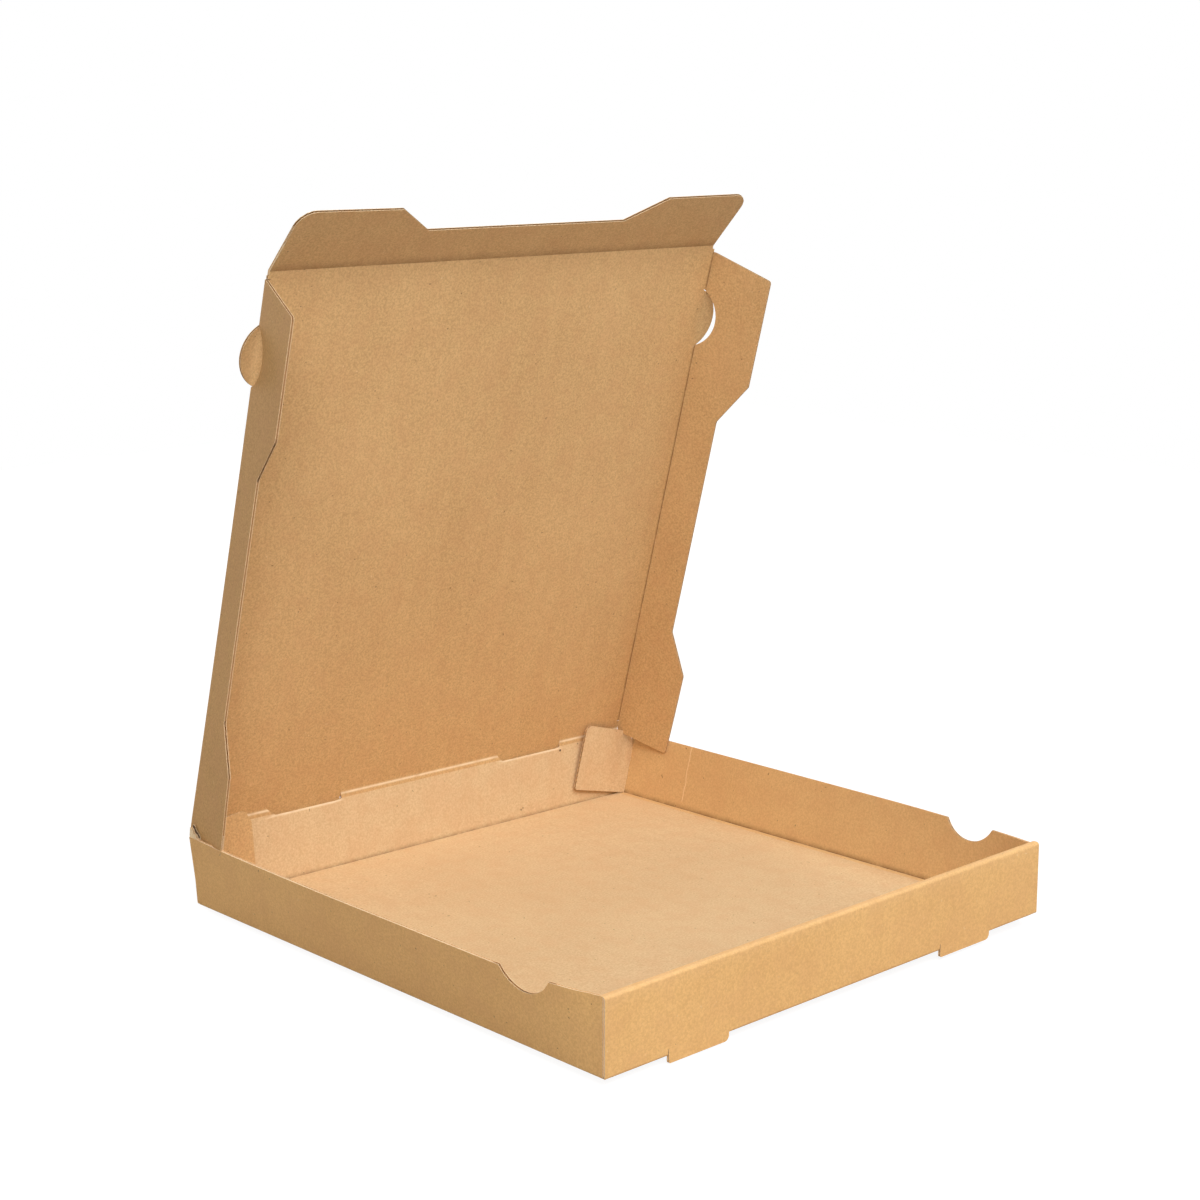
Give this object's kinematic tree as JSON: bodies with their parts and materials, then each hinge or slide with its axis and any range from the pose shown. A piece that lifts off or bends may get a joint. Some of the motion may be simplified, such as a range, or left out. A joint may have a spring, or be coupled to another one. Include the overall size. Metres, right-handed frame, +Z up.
{
  "type": "pizza box",
  "caption": "Plain kraft pizza box folded from corrugated board, standing open: shallow tray with thumb notches, hinged lid with side flaps and a front tuck flap.",
  "frame": {"origin": "middle of the tray's floor, on its underside", "axes": "+X runs to the right along the rolled front wall seen from the front, +Y from the front wall to the hinged rear wall, +Z up"},
  "size_m": [0.3486, 0.3374, 0.3942],
  "materials": {
    "kraft_board": "plain uncoated kraft liner on fine-flute corrugated board"
  },
  "bodies": {
    "tray": {"tray": "kraft_board"},
    "lid": {"lid": "kraft_board"},
    "left_flap": {"left_side_flap": "kraft_board"},
    "right_flap": {"right_side_flap": "kraft_board"},
    "tuck_flap": {"front_tuck_flap": "kraft_board"}
  },
  "joints": [
    {"name": "lid_hinge", "type": "hinge", "parent": "tray", "child": "lid", "pos_m": [0, 0.16915, 0.0435], "axis": [-1, 0, 0], "range_deg": [-74.9, 104.3]},
    {"name": "left_flap_hinge", "type": "hinge", "parent": "lid", "child": "left_flap", "pos_m": [-0.1621, 0.16915, 0.0435], "axis": [0, 0.247, -0.969], "range_deg": [-19.5, 27.2]},
    {"name": "right_flap_hinge", "type": "hinge", "parent": "lid", "child": "right_flap", "pos_m": [0.1621, 0.16915, 0.0435], "axis": [0, -0.247, 0.969], "range_deg": [-19.5, 27.2]},
    {"name": "tuck_flap_hinge", "type": "hinge", "parent": "lid", "child": "tuck_flap", "pos_m": [0, 0.08897, 0.35804], "axis": [1, 0, 0], "range_deg": [-28.5, 61.5]}
  ],
  "couplings": [
    {"joint": "left_flap_hinge", "follows": "lid_hinge", "ratio": 0.26},
    {"joint": "right_flap_hinge", "follows": "lid_hinge", "ratio": 0.26}
  ]
}
